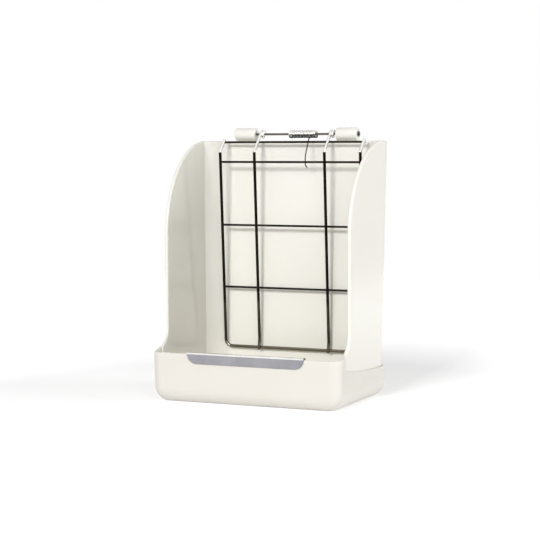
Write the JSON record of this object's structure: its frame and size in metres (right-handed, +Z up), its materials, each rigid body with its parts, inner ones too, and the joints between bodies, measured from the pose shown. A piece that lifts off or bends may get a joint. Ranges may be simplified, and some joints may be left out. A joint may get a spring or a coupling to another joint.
{
  "type": "small-animal hay feeder box",
  "caption": "Ivory plastic hay feeder for small pets: tray with a metal gnaw guard, three-walled hood and a spring-closed wire grid that swings forward.",
  "frame": {"origin": "centre of the tray's underside", "axes": "+X to the right seen from the open front, +Y to the back, +Z up"},
  "size_m": [0.1774, 0.1238, 0.237],
  "materials": {
    "tray_plastic": "satin moulded",
    "hood_plastic": "glossy moulded",
    "guard_metal": "brushed along its length",
    "plated_wire": "dull plated",
    "nut_steel": "stamped",
    "spring_steel": "drawn wire"
  },
  "bodies": {
    "casing": {"hay_tray": "tray_plastic", "hood": "hood_plastic", "gnaw_guard": "guard_metal", "hinge_rod": "plated_wire", "rod_push_nut": "nut_steel", "torsion_spring": "spring_steel"},
    "grid": {"outer_frame_wire": "plated_wire", "left_upright": "plated_wire", "right_upright": "plated_wire", "top_crossbar": "plated_wire", "upper_crossbar": "plated_wire", "middle_crossbar": "plated_wire", "lower_crossbar": "plated_wire"}
  },
  "joints": [
    {"name": "grid_hinge", "type": "hinge", "parent": "casing", "child": "grid", "pos_m": [0, 0.0563, 0.2313], "axis": [-1, 0, 0], "range_deg": [0, 85], "stiffness_Nm_per_rad": 0.1, "springref_deg": -28.65, "deforming": ["torsion_spring"]}
  ]
}
